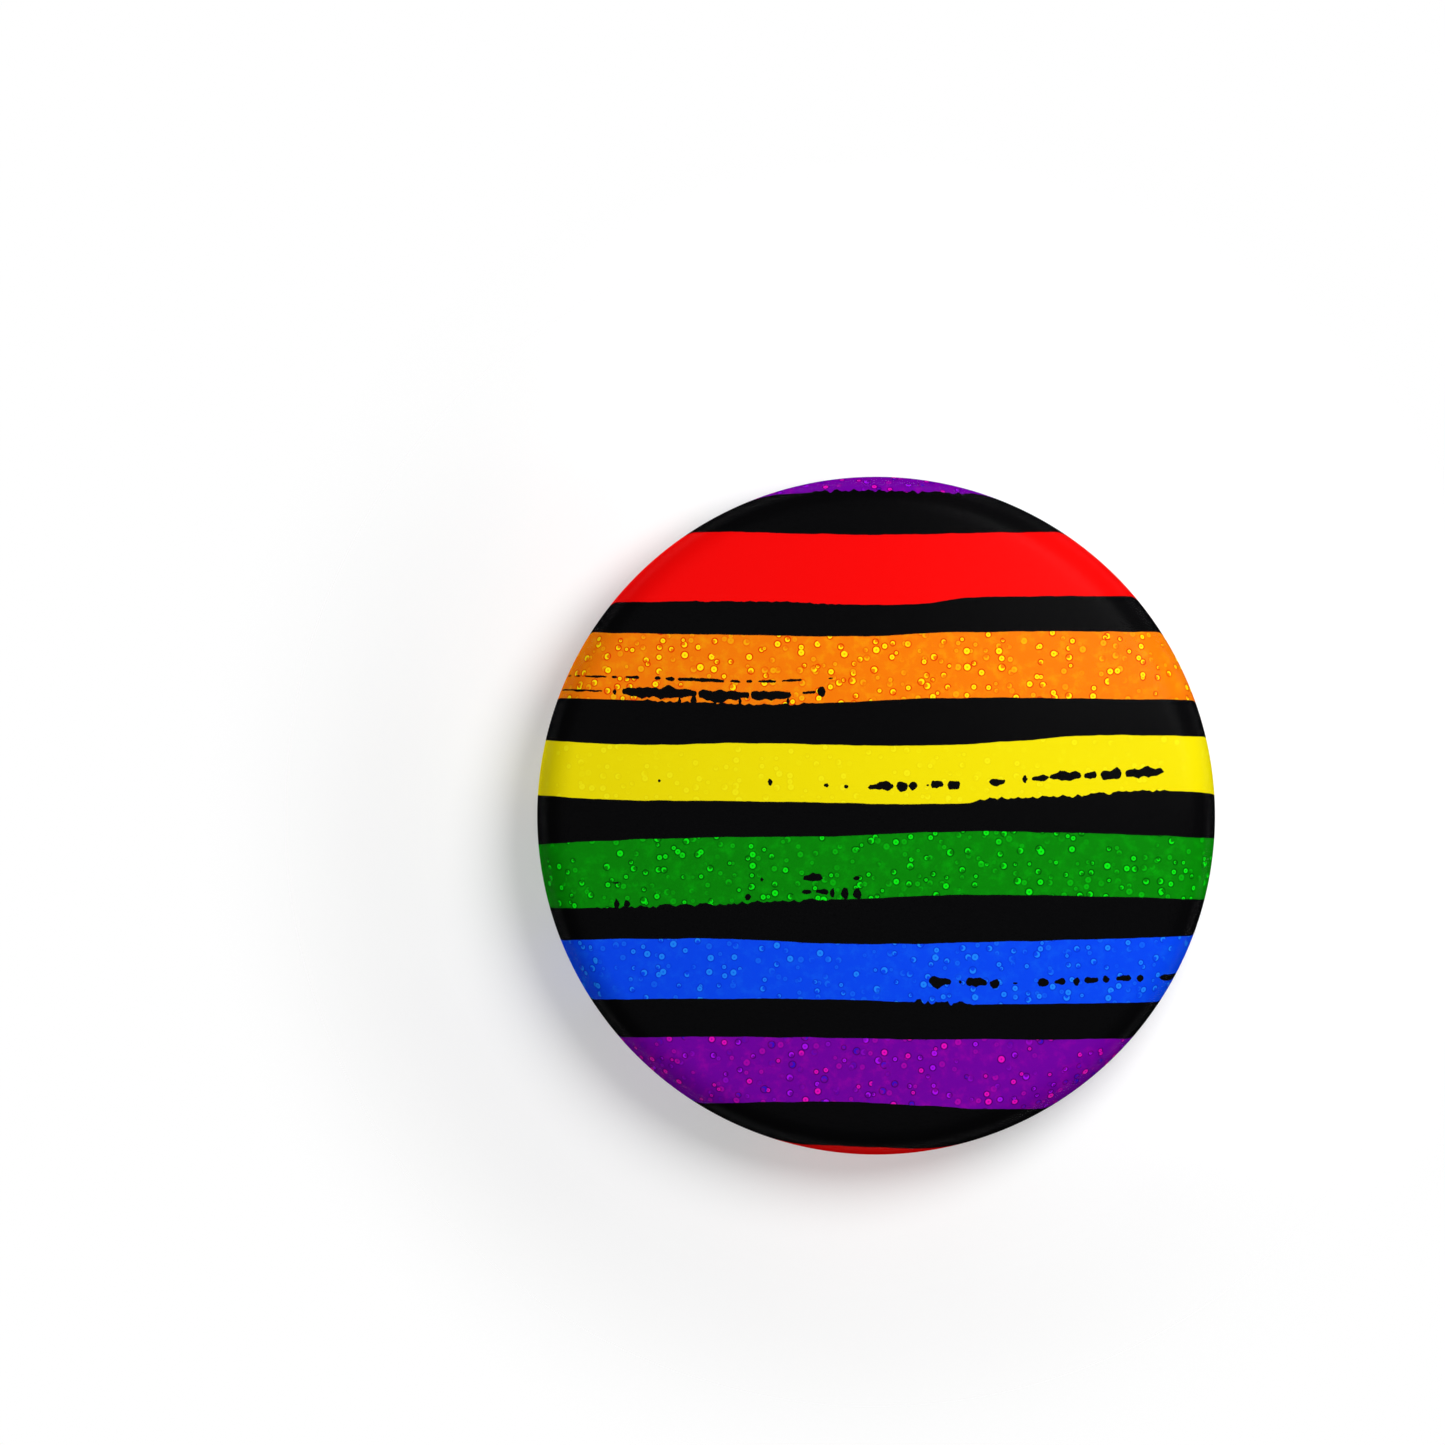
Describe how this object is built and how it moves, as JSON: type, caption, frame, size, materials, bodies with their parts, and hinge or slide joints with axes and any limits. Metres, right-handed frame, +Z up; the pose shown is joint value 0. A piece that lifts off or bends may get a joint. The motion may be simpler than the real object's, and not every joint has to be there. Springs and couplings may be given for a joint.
{
  "type": "pinback button badge",
  "caption": "Round domed button badge with a striped print, crimped metal back and a one-piece spring wire pin with coil and catch.",
  "frame": {"origin": "on the badge's axis, in the plane of the back plate's rim, where the cloth lies", "axes": "+Z up as worn, +Y out of the back towards the cloth and the pin, -Y the way the face looks, +X from the coil to the catch"},
  "size_m": [0.044, 0.0074, 0.044],
  "materials": {
    "film": "clear polyester film, glossy",
    "print": "printed paper: seven-colour brushed stripes on black",
    "shell_tin": "bare tinplate, satin",
    "plate_tin": "tinplate, brushed across, with a bright rim",
    "wire_steel": "bright-plated spring wire"
  },
  "bodies": {
    "badge": {"clear_film": "film", "printed_disc": "print", "face_shell": "shell_tin", "back_plate": "plate_tin", "catch_wire": "wire_steel"},
    "pin": {"pin_arm": "wire_steel"}
  },
  "joints": [
    {"name": "pin_open", "type": "hinge", "parent": "badge", "child": "pin", "pos_m": [-0.013, 0.00035, -0.00137], "axis": [0.8192, 0.5736, 0], "range_deg": [0, 170], "stiffness_Nm_per_rad": 0.002}
  ]
}
